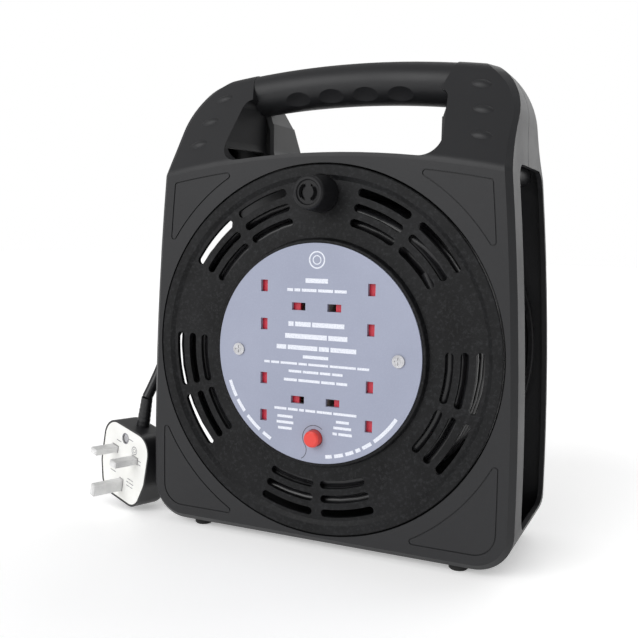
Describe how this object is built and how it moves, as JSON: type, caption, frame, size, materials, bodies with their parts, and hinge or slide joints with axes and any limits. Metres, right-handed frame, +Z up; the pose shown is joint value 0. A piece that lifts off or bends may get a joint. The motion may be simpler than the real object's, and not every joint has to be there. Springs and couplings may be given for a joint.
{
  "type": "extension cord reel",
  "caption": "Cassette cable reel with a carry handle, a drum wound by a front knob, a cord with its plug, and shuttered sockets on a round plate.",
  "frame": {"origin": "centre of the case's footprint on the floor, under the middle of its depth without the cord and plug", "axes": "+Z up, -Y towards the viewer and the sockets, +X to the right of the socket face"},
  "size_m": [0.2879, 0.1106, 0.2855],
  "materials": {
    "case_plastic": "moulded black plastic with a fine satin grain",
    "drum_plastic": "moulded black plastic, smoother than the case",
    "knob_plastic": "polished black plastic",
    "plate_grey": "bluish grey plastic with a fine grain",
    "base_white": "off-white insulating plastic",
    "shutter_red": "red plastic",
    "button_red": "orange-red plastic",
    "cutout_dark": "dark switch body",
    "cord_black": "smooth black cord sheath",
    "plug_black": "black plug moulding",
    "card_white": "thin white card",
    "fuse_ceramic": "white ceramic tube",
    "pin_metal": "satin plated brass",
    "brass_bar": "stamped brass strip",
    "screw_steel": "zinc plated steel",
    "washer_steel": "pressed steel",
    "spring_steel": "spring wire",
    "foot_rubber": "matt black rubber"
  },
  "bodies": {
    "case": {"front_shell": "case_plastic", "rear_shell": "case_plastic", "case_screws": "screw_steel", "rubber_feet": "foot_rubber", "spindle_washer": "washer_steel", "spindle_screw": "screw_steel", "plug_base": "plug_black", "plug_card": "card_white", "plug_cover": "plug_black", "plug_cord_guard": "cord_black", "plug_pin_live": "pin_metal", "plug_pin_neutral": "pin_metal", "plug_pin_earth": "pin_metal", "plug_fuse": "fuse_ceramic", "plug_screw": "screw_steel", "cord_tail": "cord_black"},
    "drum": {"drum_front": "drum_plastic", "rear_flange": "drum_plastic", "drum_screws": "screw_steel", "cord_winding": "cord_black", "socket_plate": "plate_grey", "plate_screws": "screw_steel", "socket_base": "base_white", "live_bar": "brass_bar", "neutral_bar": "brass_bar", "earth_bar": "brass_bar", "thermal_cutout": "cutout_dark", "button_spring": "spring_steel", "knob_pin": "drum_plastic", "shutter_spring_upper_left": "spring_steel", "shutter_spring_upper_right": "spring_steel", "shutter_spring_lower_left": "spring_steel", "shutter_spring_lower_right": "spring_steel"},
    "button": {"reset_button": "button_red"},
    "knob": {"winding_knob": "knob_plastic"},
    "shutter_upper_left": {"shutter_upper_left": "shutter_red"},
    "shutter_upper_right": {"shutter_upper_right": "shutter_red"},
    "shutter_lower_left": {"shutter_lower_left": "shutter_red"},
    "shutter_lower_right": {"shutter_lower_right": "shutter_red"}
  },
  "joints": [
    {"name": "drum_turn", "type": "hinge", "parent": "case", "child": "drum", "pos_m": [0, 0.03, 0.1165], "axis": [0, 1, 0], "continuous": true},
    {"name": "knob_turn", "type": "hinge", "parent": "drum", "child": "knob", "pos_m": [0, -0.045, 0.207], "axis": [0, 1, 0], "continuous": true},
    {"name": "button_press", "type": "slide", "parent": "drum", "child": "button", "axis": [0, 1, 0], "range_m": [0, 0.0025], "stiffness_N_per_m": 400, "springref_m": -0.001, "deforming": ["button_spring"]},
    {"name": "shutter_upper_left_slide", "type": "slide", "parent": "drum", "child": "shutter_upper_left", "axis": [-1, 0, 0], "range_m": [0, 0.005], "stiffness_N_per_m": 200, "springref_m": -0.002, "deforming": ["shutter_spring_upper_left"]},
    {"name": "shutter_upper_right_slide", "type": "slide", "parent": "drum", "child": "shutter_upper_right", "axis": [1, 0, 0], "range_m": [0, 0.005], "stiffness_N_per_m": 200, "springref_m": -0.002, "deforming": ["shutter_spring_upper_right"]},
    {"name": "shutter_lower_left_slide", "type": "slide", "parent": "drum", "child": "shutter_lower_left", "axis": [-1, 0, 0], "range_m": [0, 0.005], "stiffness_N_per_m": 200, "springref_m": -0.002, "deforming": ["shutter_spring_lower_left"]},
    {"name": "shutter_lower_right_slide", "type": "slide", "parent": "drum", "child": "shutter_lower_right", "axis": [1, 0, 0], "range_m": [0, 0.005], "stiffness_N_per_m": 200, "springref_m": -0.002, "deforming": ["shutter_spring_lower_right"]}
  ]
}
